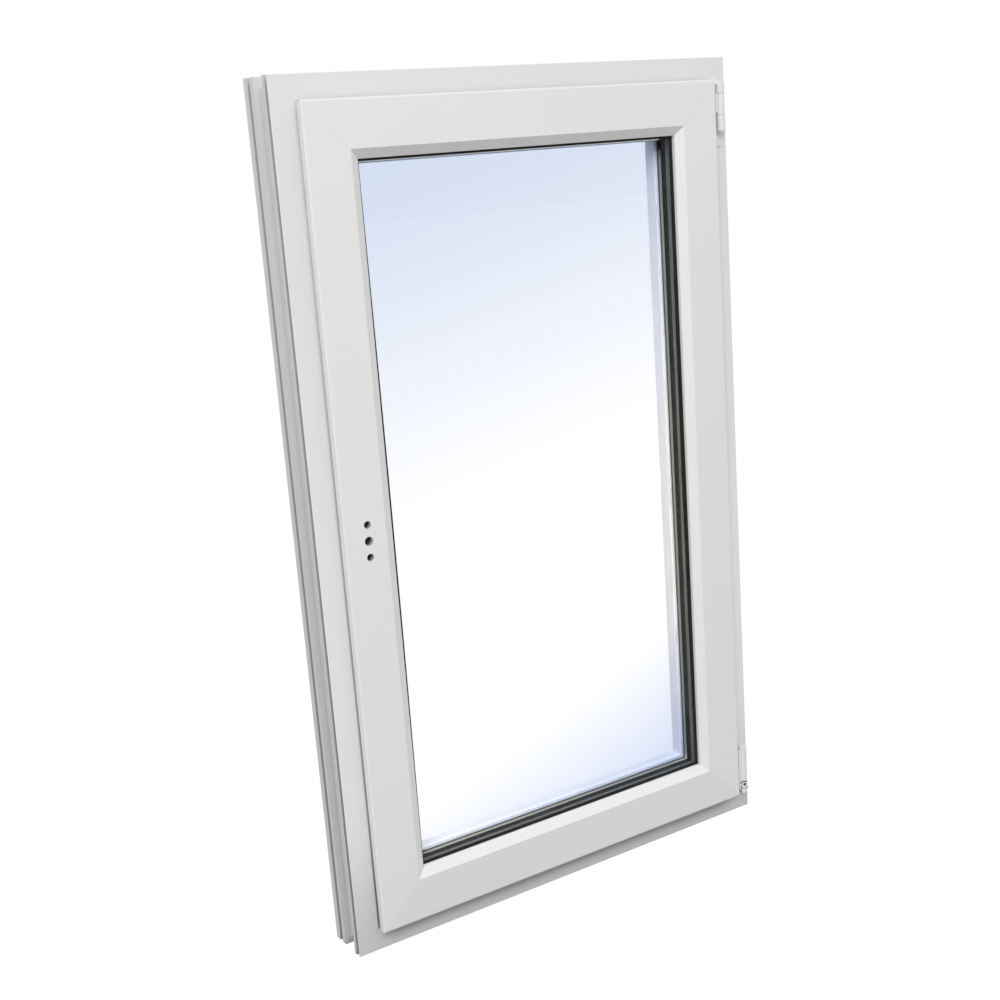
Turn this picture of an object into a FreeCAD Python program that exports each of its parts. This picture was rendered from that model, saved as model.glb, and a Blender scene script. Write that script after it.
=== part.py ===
import FreeCAD, Part
import math
import os

# A tilt and turn window of welded plastic sections, closed, in millimetres.
# X runs to the right as seen from the room, Y to the outside and Z up.
# Along a section, "inward" is measured from the frame's outer edge towards the glass,
# and "depth" from the frame's room face towards the outside.

# Overall frame
window_width = 700.0
window_height = 1150.0
frame_depth = 70.0

# Frame section: room side, drained rebate and outer stop
frame_margin = 31.0
sash_overlap = 8.0
rebate_shelf = 24.0
gutter_drop = 5.0
gutter_ramp = 6.0
stop_height = 23.0
stop_fall = 5.0
section_round = 1.5

# Frame section: lips, ribs and grooves round the outer edge
front_lip = 1.8
side_groove_width = 6.7
side_groove_depth = 5.0
front_rib = 6.5
anchor_channel = 27.0
anchor_channel_depth = 11.0
seat_land = 9.0
back_groove = 7.0
front_edge_round = 1.0

# Drain slots in the weather face of the bottom rail
drain_slot_length = 28.0
drain_slot_height = 5.0
drain_slot_depth = 9.0
drain_slot_level = 22.0
drain_slot_spacing = 360.0

# Sash section
sash_depth = 70.0
sash_proud = 18.0
flange_thickness = 11.0
flange_round = 3.0
air_space = 12.0
hardware_centre = 13.0
hardware_seat_width = 16.0
hardware_seat_depth = 3.0
drive_channel_width = 12.0
drive_channel_depth = 12.0
sash_back_step = 5.0
sash_back_ramp = 8.0
sash_shelf = 22.0
sash_face_width = 60.0
glazing_upstand = 5.0
lip_rise = 5.8
reveal_fall = 1.5

# Glazing bead, double glass and its seals
bead_bevel_width = 12.2
bead_bevel_depth = 7.5
bead_nose = 5.5
bead_nose_round = 0.8
inner_seal_thickness = 2.0
inner_seal_lip = 4.2
inner_seal_foot = 6.0
pane_thickness = 4.0
glass_cavity = 22.0
glass_edge_cover = 13.0
outer_seal_thickness = 3.0
outer_seal_width = 7.0
outer_seal_inset = 3.5
spacer_height = 7.5
edge_seal_height = 4.5
glass_block_length = 100.0
glass_block_inset = 90.0

# Weather seals between frame and sash
overlap_seal_inset = 4.0
overlap_seal_width = 3.6
overlap_seal_gap = 1.8
seal_foot = 1.2
stop_seal_width = 3.5
stop_seal_gap = 0.6
seal_lip_width = 1.2
stop_gap = 5.5

# Handle drilling in the left stile
handle_inset = 34.0
handle_screw_spacing = 43.0
handle_screw_hole = 10.0
handle_spindle_hole = 12.0
handle_hole_depth = 14.0

# Turn axis beside the sash and tilt axis near its bottom edge
hinge_inset = 12.0
hinge_proud = 12.5
tilt_height = 45.5
hinge_clearance = 0.3
hinge_plate_thickness = 2.0
hinge_plate_side = 10.0
hinge_web_half = 5.0
barrel_round = 1.2

# Lower hinge
bearing_bottom = 31.0
bearing_top = 41.0
bearing_radius = 7.8
bearing_tip_radius = 3.0
bearing_floor = 4.0
bearing_web_half = 2.8
bearing_plate_top = 52.0
pivot_radius = 3.5
pivot_head_radius = 6.5
pivot_head_height = 10.0
key_square = 4.6
key_depth = 4.5
key_height = 47.5
key_turn = 20.0
key_roll = 30.0
trunnion_radius = 3.0
trunnion_reach = 6.0
strap_thickness = 2.5
strap_front = 1.0
strap_back = 0.5
strap_bottom = 42.0
sleeve_bottom = 53.0
sleeve_length = 51.0
sleeve_radius = 6.2
sleeve_web_half = 4.0
sleeve_cap_height = 7.0
sleeve_cap_radius = 6.6

# Upper hinge, measured down from the frame's top edge
arm_knuckle_top = 50.0
arm_knuckle_length = 28.7
arm_knuckle_radius = 5.8
top_ear_length = 13.7
top_bearing_length = 23.0
top_bearing_tail = 20.0
top_bearing_radius = 6.1
top_pin_radius = 3.5
top_pin_seat = 18.0
top_pin_head = 9.0

# Stay arm in the air space over the sash
stay_length = 330.0
stay_width = 14.0
stay_thickness = 3.5
stay_lift = 3.5
stay_stud_radius = 4.0
stay_stud_reach = 14.0
stay_tongue_thickness = 3.0
stay_tongue_gap = 2.5
stay_tongue_length = 20.0
stay_tongue_drop = 26.0
stay_web = (-1.0, 8.0)
stay_rebate_gap = 2.0
stay_slot_travel = 20.0
stay_slot_play = 1.5
seal_notch_play = 3.0

# Locking hardware on the sash edge and its strikers on the frame
cam_radius = 4.0
cam_stem_radius = 3.0
cam_height = 7.5
cam_head_height = 2.5
cam_travel = 36.0
cam_slot_play = 1.0
drive_rod_length = 120.0
drive_rod_width = 10.0
drive_rod_thickness = 3.0
striker_length = 56.0
striker_width = 16.0
striker_thickness = 3.0
striker_lip_length = 30.0
striker_lip_height = 5.0
striker_lip_slope = 5.0
striker_lip_thickness = 1.5
striker_setback = 0.3
cam_offset = 46.0
side_lock_heights = (230.0, 610.0, 900.0)
rail_lock_place = 190.0

# Derived levels, inward from the frame's outer edge
frame_leg = frame_margin + sash_overlap
gutter_level = frame_leg - gutter_drop
stop_top = frame_leg + stop_height
sash_edge = frame_leg + air_space
seat_floor = sash_edge + hardware_seat_depth
drive_floor = sash_edge + drive_channel_depth
sash_back_edge = sash_edge + sash_back_step
bead_start = frame_margin + sash_face_width
glazing_floor = bead_start - glazing_upstand
sight_line = bead_start + bead_bevel_width
outer_sight = sight_line + lip_rise
glass_edge = sight_line - glass_edge_cover
mitre_reach = outer_sight + frame_margin

# Derived depths from the frame's room face
sash_face = -sash_proud
flange_back = sash_face + flange_thickness
sash_back = sash_face + sash_depth
hardware_line = flange_back + hardware_centre
bead_nose_depth = sash_face + bead_bevel_depth
bead_back = bead_nose_depth + bead_nose
glass_face = bead_back + inner_seal_thickness
cavity_face = glass_face + pane_thickness
outer_pane_face = cavity_face + glass_cavity
glass_back = outer_pane_face + pane_thickness
lip_face = glass_back + outer_seal_thickness
stop_face = sash_back + stop_gap
rib_start = front_lip + side_groove_width
rib_end = rib_start + front_rib
land_start = rib_end + anchor_channel
land_end = land_start + seat_land
back_rib_start = land_end + back_groove

# The origin lies under the middle of the seat land of the bottom rail
origin_depth = (land_start + land_end) / 2

# Hinge axes
hinge_inward = frame_margin - hinge_inset
hinge_depth = -hinge_proud
hinge_x = window_width / 2 - hinge_inward
hinge_y = hinge_depth - origin_depth

UP = FreeCAD.Vector(0, 0, 1)
SIDES = ("left", "right", "top", "bottom")


def place(side, along, inward, depth):
    """Point on one side of the window from its run, inward and depth measures."""
    y = depth - origin_depth
    if side == "left":
        return FreeCAD.Vector(inward - window_width / 2, y, along)
    if side == "right":
        return FreeCAD.Vector(window_width / 2 - inward, y, along)
    if side == "bottom":
        return FreeCAD.Vector(along - window_width / 2, y, inward)
    return FreeCAD.Vector(along - window_width / 2, y, window_height - inward)


def side_length(side):
    """Outer length of the frame along a side."""
    return window_height if side in ("left", "right") else window_width


def rounded_wire(points, radii):
    """Closed wire through the points, with an arc at each corner that has a radius."""
    edges = []
    joints = []
    count = len(points)
    for index in range(count):
        corner = points[index]
        before = (points[index - 1] - corner).normalize()
        after = (points[(index + 1) % count] - corner).normalize()
        if not radii[index]:
            joints.append((corner, corner, None))
            continue
        half = before.getAngle(after) / 2
        reach = radii[index] / math.tan(half)
        centre = corner + (before + after).normalize() * (radii[index] / math.sin(half))
        middle = centre + (corner - centre).normalize() * radii[index]
        joints.append((corner + before * reach, corner + after * reach, middle))
    for index in range(count):
        start, end, middle = joints[index]
        if middle:
            edges.append(Part.Arc(start, middle, end).toShape())
        edges.append(Part.LineSegment(end, joints[(index + 1) % count][0]).toShape())
    return Part.Wire(edges)


def member(side, section):
    """Length of a section along one side, cut to mitres at both ends."""
    length = side_length(side)
    points = [place(side, 0, corner[0], corner[1]) for corner in section]
    radii = [corner[2] if len(corner) > 2 else 0 for corner in section]
    run = place(side, length, 0, 0) - place(side, 0, 0, 0)
    bar = Part.Face(rounded_wire(points, radii)).extrude(run)
    low = min(corner[1] for corner in section) - 1
    high = max(corner[1] for corner in section) + 1
    mitre = [(0, 0), (length, 0), (length - mitre_reach, mitre_reach), (mitre_reach, mitre_reach)]
    outline = [place(side, along, inward, low) for along, inward in mitre]
    outline.append(outline[0])
    limit = Part.Face(Part.makePolygon(outline)).extrude(FreeCAD.Vector(0, high - low, 0))
    return bar.common(limit)


def ring(section):
    """One closed loop of a section round the window."""
    loop = member(SIDES[0], section)
    for side in SIDES[1:]:
        loop = loop.fuse(member(side, section))
    return loop.removeSplitter()


def block(side, along, inward, depth):
    """Box on one side of the window between two runs, two inward and two depth levels."""
    low = place(side, along[0], inward[0], depth[0])
    high = place(side, along[1], inward[1], depth[1])
    corner = FreeCAD.Vector(min(low.x, high.x), min(low.y, high.y), min(low.z, high.z))
    size = high - low
    return Part.makeBox(abs(size.x), abs(size.y), abs(size.z), corner)


def post(radius, low, high):
    """Upright cylinder on the turn axis."""
    return Part.makeCylinder(radius, high - low, FreeCAD.Vector(hinge_x, hinge_y, low), UP)


def rounded_post(radius, low, high, end):
    """Upright cylinder on the turn axis with one rounded end."""
    level = high if end == "top" else low
    whole = post(radius, low, high)
    rims = [edge for edge in whole.Edges if edge.BoundBox.ZLength < hinge_clearance]
    rims = [edge for edge in rims if abs(edge.BoundBox.ZMin - level) < hinge_clearance]
    return whole.makeFillet(barrel_round, rims)


def stud(side, along, inward, depth, radius, height):
    """Cylinder that stands on an edge and points out towards the frame's outer edge."""
    foot = place(side, along, inward, depth)
    outward = (place(side, along, inward - 1, depth) - foot).normalize()
    return Part.makeCylinder(radius, height, foot, outward)


def fused(shapes):
    """One clean solid from overlapping shapes."""
    return shapes[0].multiFuse(shapes[1:]).removeSplitter()


def frame_section():
    """Frame from its room leg over the drained rebate and the outer stop to the edge ribs."""
    return [
        (0, 0, front_edge_round),
        (frame_leg, 0, section_round),
        (frame_leg, rebate_shelf),
        (gutter_level, rebate_shelf + gutter_ramp),
        (gutter_level, stop_face),
        (stop_top, stop_face, section_round),
        (stop_top - stop_fall, frame_depth, section_round),
        (0, frame_depth, front_edge_round),
        (0, back_rib_start),
        (side_groove_depth, back_rib_start),
        (side_groove_depth, land_end),
        (0, land_end),
        (0, land_start),
        (anchor_channel_depth, land_start),
        (anchor_channel_depth, rib_end),
        (0, rib_end),
        (0, rib_start),
        (side_groove_depth, rib_start),
        (side_groove_depth, front_lip),
        (0, front_lip),
    ]


def sash_section():
    """Sash from its overlap flange to the glazing rebate, with the hardware groove in its edge."""
    seat_half = hardware_seat_width / 2
    drive_half = drive_channel_width / 2
    return [
        (frame_margin, sash_face, flange_round),
        (bead_start, sash_face),
        (bead_start, bead_back),
        (glazing_floor, bead_back),
        (glazing_floor, lip_face),
        (outer_sight, lip_face, section_round),
        (outer_sight - reveal_fall, sash_back, section_round),
        (sash_back_edge, sash_back, section_round),
        (sash_back_edge, sash_shelf + sash_back_ramp),
        (sash_edge, sash_shelf),
        (sash_edge, hardware_line + seat_half),
        (seat_floor, hardware_line + seat_half),
        (seat_floor, hardware_line + drive_half),
        (drive_floor, hardware_line + drive_half),
        (drive_floor, hardware_line - drive_half),
        (seat_floor, hardware_line - drive_half),
        (seat_floor, hardware_line - seat_half),
        (sash_edge, hardware_line - seat_half),
        (sash_edge, flange_back),
        (frame_margin, flange_back),
    ]


def bead_section():
    """Bevelled glazing bead on the sash's upstand."""
    return [
        (bead_start, sash_face),
        (sight_line, bead_nose_depth, bead_nose_round),
        (sight_line, bead_back),
        (bead_start, bead_back),
    ]


def inner_seal_section():
    """Seal between the bead and the inner pane, its lip showing past the bead."""
    return [
        (sight_line + inner_seal_lip, glass_face),
        (sight_line + inner_seal_lip / 2, (bead_back + glass_face) / 2),
        (sight_line, bead_back),
        (sight_line - inner_seal_foot, bead_back),
        (sight_line - inner_seal_foot, glass_face),
    ]


def outer_seal_section():
    """Seal between the outer pane and the sash's glazing lip."""
    end = outer_sight - outer_seal_inset
    start = end - outer_seal_width
    return [
        (start, glass_back),
        (end, glass_back),
        (end - seal_lip_width, lip_face),
        (start, lip_face),
    ]


def overlap_seal_section():
    """Seal on the back of the sash flange, facing the frame's room face."""
    start = frame_margin + overlap_seal_inset
    end = start + overlap_seal_width
    foot = flange_back + seal_foot
    return [
        (start, flange_back),
        (end, flange_back),
        (end, foot),
        (end - seal_lip_width, foot + seal_foot),
        (end, -overlap_seal_gap),
        (end - seal_lip_width, -overlap_seal_gap),
        (start, foot),
    ]


def stop_seal_section():
    """Seal on the frame's outer stop, facing the back of the sash."""
    end = stop_top - section_round
    start = end - stop_seal_width
    tip = sash_back + stop_seal_gap
    foot = stop_face - seal_foot
    return [
        (start, stop_face),
        (end, stop_face),
        (end, foot),
        (start + seal_lip_width, foot - seal_foot),
        (end, tip),
        (end - seal_lip_width, tip),
        (start, foot),
    ]


def faceplate_section():
    """Flat hardware strip that lies flush in the sash's edge."""
    half = hardware_seat_width / 2 - hinge_clearance
    return [
        (sash_edge, hardware_line - half),
        (sash_edge, hardware_line + half),
        (seat_floor, hardware_line + half),
        (seat_floor, hardware_line - half),
    ]


def box_section(inner, outer, near, far):
    """Plain rectangle between two inward levels and two depths."""
    return [(outer, near), (inner, near), (inner, far), (outer, far)]


def drained(rail):
    """Bottom rail with its slots open to the weather face."""
    middle = window_width / 2
    for along in (middle - drain_slot_spacing / 2, middle + drain_slot_spacing / 2):
        ends = (along - drain_slot_length / 2, along + drain_slot_length / 2)
        level = (drain_slot_level, drain_slot_level + drain_slot_height)
        rail = rail.cut(block("bottom", ends, level, (frame_depth - drain_slot_depth, frame_depth)))
    return rail


def handle_drilled(stile):
    """Left stile with the spindle hole between two screw holes at mid height."""
    middle = window_height / 2
    half = handle_screw_spacing / 2
    holes = [
        (middle, handle_spindle_hole),
        (middle - half, handle_screw_hole),
        (middle + half, handle_screw_hole),
    ]
    inward = frame_margin + handle_inset
    for along, size in holes:
        foot = place("left", along, inward, sash_face)
        inside = FreeCAD.Vector(0, 1, 0)
        stile = stile.cut(Part.makeCylinder(size / 2, handle_hole_depth, foot, inside))
    return stile


def trunnion(radius, reach):
    """Rod on the tilt axis, from the turn axis into the edge of the sash."""
    foot = FreeCAD.Vector(hinge_x, hinge_y, tilt_height)
    return Part.makeCylinder(radius, hinge_inset + reach, foot, FreeCAD.Vector(-1, 0, 0))


def hinge_plate(low, high):
    """Plate on the frame's room face behind a hinge."""
    side = (hinge_inward - hinge_plate_side, hinge_inward + hinge_plate_side)
    return block("right", (low, high), side, (-hinge_plate_thickness, 0))


def hinge_web(low, high, half, depth):
    """Web between a hinge barrel and what carries it."""
    return block("right", (low, high), (hinge_inward - half, hinge_inward + half), (hinge_depth, depth))


def lower_bearing():
    """Tapered cup on the frame that takes the sash's weight at the lower hinge."""
    height = bearing_top - bearing_bottom
    foot = FreeCAD.Vector(hinge_x, hinge_y, bearing_bottom)
    tapered = Part.makeCone(bearing_tip_radius, bearing_radius, height, foot, UP)
    body = fused([
        hinge_plate(bearing_bottom, bearing_plate_top),
        hinge_web(bearing_bottom, bearing_top, bearing_web_half, -hinge_plate_thickness),
        tapered,
    ])
    bore = post(pivot_radius + hinge_clearance, bearing_bottom + bearing_floor, bearing_top)
    return body.cut(bore)


def lower_pivot():
    """Pivot that turns in the cup and carries the tilt trunnion, with a square key socket."""
    foot = bearing_bottom + bearing_floor
    head = bearing_top + hinge_clearance
    body = fused([
        post(pivot_radius, foot, head + hinge_clearance),
        post(pivot_head_radius, head, head + pivot_head_height),
        trunnion(trunnion_radius, trunnion_reach),
    ])
    half = key_square / 2
    corner = FreeCAD.Vector(-half, -pivot_head_radius, -half)
    key = Part.makeBox(key_square, key_depth, key_square, corner)
    key.rotate(FreeCAD.Vector(), FreeCAD.Vector(0, 1, 0), key_roll)
    key.rotate(FreeCAD.Vector(), UP, -key_turn)
    key.translate(FreeCAD.Vector(hinge_x, hinge_y, key_height))
    return body.cut(key)


def corner_strap():
    """Steel strap on the edge of the sash, with the eye for the trunnion."""
    edge = (frame_margin - strap_thickness, frame_margin)
    faces = (sash_face + strap_front, flange_back - strap_back)
    plate = block("right", (strap_bottom, sleeve_bottom + sleeve_length), edge, faces)
    return plate.cut(trunnion(trunnion_radius + hinge_clearance, trunnion_reach))


def hinge_sleeve():
    """Cover sleeve of the lower hinge, on the strap."""
    top = sleeve_bottom + sleeve_length
    side = (hinge_inward, frame_margin - strap_thickness)
    faces = (hinge_depth - sleeve_web_half, hinge_depth + sleeve_web_half)
    web = block("right", (sleeve_bottom, top), side, faces)
    return fused([post(sleeve_radius, sleeve_bottom, top), web])


def sleeve_cap():
    """Rounded cap on the sleeve."""
    foot = sleeve_bottom + sleeve_length
    return rounded_post(sleeve_cap_radius, foot, foot + sleeve_cap_height, "top")


def upper_pin():
    """Pin of the upper hinge, through the arm's knuckle and into both ears of the bearing."""
    top = window_height - arm_knuckle_top
    foot = top - arm_knuckle_length - hinge_clearance - top_pin_seat
    return post(top_pin_radius, foot, top + hinge_clearance + top_pin_head)


def upper_bearing():
    """Frame half of the upper hinge: a plate with an ear over and one under the arm's knuckle."""
    ear_low = window_height - arm_knuckle_top + hinge_clearance
    ear_top = ear_low + top_ear_length
    top = window_height - arm_knuckle_top - arm_knuckle_length - hinge_clearance
    low = top - top_bearing_length
    body = fused([
        hinge_plate(low - top_bearing_tail, ear_top),
        hinge_web(low, top, hinge_web_half, -hinge_plate_thickness),
        hinge_web(ear_low, ear_top - barrel_round, hinge_web_half, -hinge_plate_thickness),
        rounded_post(top_bearing_radius, low, top, "bottom"),
        rounded_post(top_bearing_radius, ear_low, ear_top, "top"),
    ])
    return body.cut(upper_pin())


def stay_arm():
    """Cranked arm from the upper hinge to the stud that slides in the sash's top groove."""
    top = window_height - arm_knuckle_top
    low = top - arm_knuckle_length
    bar_low = window_height - sash_edge + stay_lift
    bar = (bar_low, bar_low + stay_thickness)
    back = -stay_tongue_gap
    front = back - stay_tongue_thickness
    bar_start = frame_leg + stay_rebate_gap
    stud_inward = hinge_inward + stay_length
    half = stay_width / 2
    faces = (hardware_line - half, hardware_line + half)
    tongue = (top - stay_tongue_drop, top)
    tongue_end = bar_start + stay_tongue_thickness
    web = (hinge_inward + stay_web[0], hinge_inward + stay_web[1])
    shapes = [
        post(arm_knuckle_radius, low, top),
        block("right", tongue, web, (hinge_depth, back)),
        block("right", tongue, (hinge_inward, tongue_end), (front, back)),
        block("right", (tongue[0], bar[1]), (frame_margin, tongue_end), (front, back)),
        block("right", bar, (bar_start, bar_start + stay_tongue_length), (front, faces[1])),
        block("right", bar, (bar_start, stud_inward), faces),
    ]
    end = place("right", bar[0], stud_inward, hardware_line)
    shapes.append(Part.makeCylinder(half, stay_thickness, end, UP))
    foot = FreeCAD.Vector(end.x, end.y, bar[0] - stay_stud_reach)
    shapes.append(Part.makeCylinder(stay_stud_radius, stay_stud_reach + stay_thickness / 2, foot, UP))
    return fused(shapes).cut(post(top_pin_radius + hinge_clearance, low, top))


def notched_overlap_seal():
    """Overlap seal, cut away where the stay arm passes between sash and frame."""
    top = window_height - arm_knuckle_top
    run = (top - stay_tongue_drop - seal_notch_play, window_height - frame_leg)
    inward = (frame_margin, frame_leg + seal_notch_play)
    return ring(overlap_seal_section()).cut(block("right", run, inward, (flange_back, 0)))


def locking_cam(side, along):
    """Mushroom cam on its piece of drive rod under the hardware strip."""
    half = drive_rod_length / 2
    rod_half = drive_rod_width / 2
    level = (seat_floor, seat_floor + drive_rod_thickness)
    faces = (hardware_line - rod_half, hardware_line + rod_half)
    stem_height = hardware_seat_depth + cam_height
    head_foot = sash_edge - cam_height + cam_head_height
    return [
        block(side, (along - half, along + half), level, faces),
        stud(side, along, seat_floor, hardware_line, cam_stem_radius, stem_height),
        stud(side, along, head_foot, hardware_line, cam_radius, cam_head_height),
    ]


def cam_slot(side, along):
    """Long hole in which a cam slides towards its striker."""
    radius = cam_stem_radius + cam_slot_play
    run = (along - cam_travel, along)
    ends = [stud(side, end, seat_floor, hardware_line, radius, hardware_seat_depth) for end in run]
    faces = (hardware_line - radius, hardware_line + radius)
    return fused([block(side, run, (sash_edge, seat_floor), faces), *ends])


def striker(side, along):
    """Striker plate with a sloped locking lip, on the frame's rebate shelf."""
    half = striker_length / 2
    lip_half = striker_lip_length / 2
    base_level = (frame_leg, frame_leg + striker_thickness)
    lip_top = frame_leg + striker_thickness + striker_lip_height
    start = striker_setback
    plate = block(side, (along - half, along + half), base_level, (start, start + striker_width))
    outline = [
        place(side, along - lip_half, frame_leg, start),
        place(side, along + lip_half, frame_leg, start),
        place(side, along + lip_half - striker_lip_slope, lip_top, start),
        place(side, along - lip_half + striker_lip_slope, lip_top, start),
    ]
    outline.append(outline[0])
    lip = Part.Face(Part.makePolygon(outline)).extrude(FreeCAD.Vector(0, striker_lip_thickness, 0))
    return fused([plate, lip])


def faceplate(side, cams):
    """Hardware strip of one side with its cams in their slots."""
    strip = member(side, faceplate_section())
    for along in cams:
        strip = strip.cut(cam_slot(side, along))
    shapes = [strip]
    for along in cams:
        shapes += locking_cam(side, along)
    return fused(shapes)


def slotted(plate):
    """Top strip with the slot in which the stay stud slides."""
    play = stay_stud_radius + stay_slot_play
    inward = (hinge_inward + stay_length - stay_slot_travel - play, hinge_inward + stay_length + play)
    along = (window_width - inward[1], window_width - inward[0])
    half = drive_channel_width / 2
    faces = (hardware_line - half, hardware_line + half)
    return plate.cut(block("top", along, (sash_edge, seat_floor), faces))


def glass_blocks():
    """Setting blocks between the glass edge and the sash's glazing floor."""
    level = (glazing_floor, glass_edge)
    faces = (glass_face, glass_back)
    start = glass_edge + glass_block_inset
    places = [
        ("bottom", start), ("bottom", window_width - start - glass_block_length),
        ("right", start), ("left", window_height - start - glass_block_length),
    ]
    return Part.makeCompound([
        block(side, (along, along + glass_block_length), level, faces) for side, along in places
    ])


def pane(face):
    """Sheet of glass from one depth."""
    span = (glass_edge, window_width - glass_edge)
    return block("bottom", span, (glass_edge, window_height - glass_edge), (face, face + pane_thickness))


def build():
    """All pieces of the window by name."""
    parts = {}
    names = {"left": "left_jamb", "right": "right_jamb", "top": "top_rail", "bottom": "bottom_rail"}
    for side in SIDES:
        parts["frame_" + names[side]] = member(side, frame_section())
    parts["frame_bottom_rail"] = drained(parts["frame_bottom_rail"])
    parts["frame_stop_seal"] = ring(stop_seal_section())
    names = {"left": "left_stile", "right": "right_stile", "top": "top_rail", "bottom": "bottom_rail"}
    for side in SIDES:
        parts["sash_" + names[side]] = member(side, sash_section())
        parts["glazing_bead_" + side] = member(side, bead_section())
    parts["sash_left_stile"] = handle_drilled(parts["sash_left_stile"])
    hole = trunnion(trunnion_radius + hinge_clearance, trunnion_reach + hinge_clearance)
    parts["sash_right_stile"] = parts["sash_right_stile"].cut(hole)
    parts["sash_overlap_seal"] = notched_overlap_seal()
    parts["inner_glass_seal"] = ring(inner_seal_section())
    parts["outer_glass_seal"] = ring(outer_seal_section())
    parts["inner_pane"] = pane(glass_face)
    parts["outer_pane"] = pane(outer_pane_face)
    spacer_start = glass_edge + edge_seal_height
    spacer_end = spacer_start + spacer_height
    parts["glass_spacer"] = ring(box_section(spacer_start, spacer_end, cavity_face, outer_pane_face))
    parts["glass_edge_seal"] = ring(box_section(glass_edge, spacer_start, cavity_face, outer_pane_face))
    parts["glass_blocks"] = glass_blocks()
    parts["lower_hinge_bearing"] = lower_bearing()
    parts["lower_hinge_pivot"] = lower_pivot()
    parts["hinge_corner_strap"] = corner_strap()
    parts["hinge_sleeve"] = hinge_sleeve()
    parts["hinge_sleeve_cap"] = sleeve_cap()
    parts["upper_hinge_bearing"] = upper_bearing()
    parts["upper_hinge_pin"] = upper_pin()
    parts["stay_arm"] = stay_arm()
    side_cams = [height + cam_offset for height in side_lock_heights]
    parts["lock_strip_left"] = faceplate("left", side_cams)
    parts["lock_strip_right"] = faceplate("right", [])
    parts["lock_strip_top"] = slotted(faceplate("top", [rail_lock_place + cam_offset]))
    parts["lock_strip_bottom"] = faceplate("bottom", [rail_lock_place + cam_offset])
    strikers = [striker("left", height) for height in side_lock_heights]
    strikers += [striker("top", rail_lock_place), striker("bottom", rail_lock_place)]
    parts["lock_strikers"] = Part.makeCompound(strikers)
    return parts


os.makedirs("parts", exist_ok=True)
for name, shape in build().items():
    shape.exportStep(os.path.join("parts", name + ".step"))
    print(name, len(shape.Solids), shape.isValid(), round(shape.Volume / 1000, 2), "cm3")
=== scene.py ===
"""Looks of a white plastic tilt and turn window: finishes, fixings and a plain studio."""
import math

import bmesh
import bpy
from bpy.props import FloatProperty, FloatVectorProperty, IntProperty, PointerProperty
from mathutils import Matrix, Vector


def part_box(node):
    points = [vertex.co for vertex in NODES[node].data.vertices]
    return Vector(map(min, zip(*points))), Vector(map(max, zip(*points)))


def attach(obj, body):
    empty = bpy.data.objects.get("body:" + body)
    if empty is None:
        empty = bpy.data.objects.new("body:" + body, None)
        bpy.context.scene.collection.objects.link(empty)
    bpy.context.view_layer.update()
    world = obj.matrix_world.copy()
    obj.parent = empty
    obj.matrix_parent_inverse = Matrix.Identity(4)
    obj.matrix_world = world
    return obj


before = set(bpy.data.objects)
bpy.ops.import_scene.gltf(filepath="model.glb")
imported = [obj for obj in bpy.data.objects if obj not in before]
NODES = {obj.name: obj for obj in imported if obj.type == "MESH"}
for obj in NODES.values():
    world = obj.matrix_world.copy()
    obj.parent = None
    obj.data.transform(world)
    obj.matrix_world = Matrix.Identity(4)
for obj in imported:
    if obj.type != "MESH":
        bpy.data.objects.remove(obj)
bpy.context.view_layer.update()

bl_info = {
    "name": "Tilt and Turn Window",
    "version": (1, 0, 0),
    "blender": (4, 5, 0),
    "location": "3D View > Sidebar > Window",
    "description": "Finishes, fixings and studio for a white plastic tilt and turn window",
    "category": "Object",
}

MILLIMETRE = 0.001
CLEAR = (1.0, 1.0, 1.0, 1.0)

# Nodes of the CAD model by their finish
UPRIGHT_FRAME = ("frame_left_jamb", "frame_right_jamb")
LEVEL_FRAME = ("frame_top_rail", "frame_bottom_rail")
UPRIGHT_SASH = ("sash_left_stile", "sash_right_stile")
LEVEL_SASH = ("sash_top_rail", "sash_bottom_rail")
UPRIGHT_BEADS = ("glazing_bead_left", "glazing_bead_right")
LEVEL_BEADS = ("glazing_bead_top", "glazing_bead_bottom")
SEALS = ("frame_stop_seal", "sash_overlap_seal", "inner_glass_seal", "glass_edge_seal")
LOCK_STRIPS = {
    "lock_strip_left": (-1, 0, 0), "lock_strip_right": (1, 0, 0),
    "lock_strip_top": (0, 0, 1), "lock_strip_bottom": (0, 0, -1),
}
COVERS = ("hinge_sleeve", "hinge_sleeve_cap", "upper_hinge_bearing")
PLATED = (*LOCK_STRIPS, "lock_strikers", "upper_hinge_pin")
COATED = ("stay_arm", "hinge_corner_strap")
CAST = ("lower_hinge_bearing", "lower_hinge_pivot")

# Places read from the CAD model; an inset is measured from the frame's outer edge
FRAME_LOW, FRAME_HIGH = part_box("frame_left_jamb")
SASH_LOW, SASH_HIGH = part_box("sash_left_stile")
HALF_WIDTH = -FRAME_LOW.x
HEIGHT = FRAME_HIGH.z
SASH_INSET = SASH_LOW.x - FRAME_LOW.x
REVEAL_INSET = SASH_HIGH.x - FRAME_LOW.x
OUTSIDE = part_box("outer_pane")[1].y
BEAD_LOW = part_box("glazing_bead_bottom")[0].z
RIGHT_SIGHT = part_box("glazing_bead_right")[0].x

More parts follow.
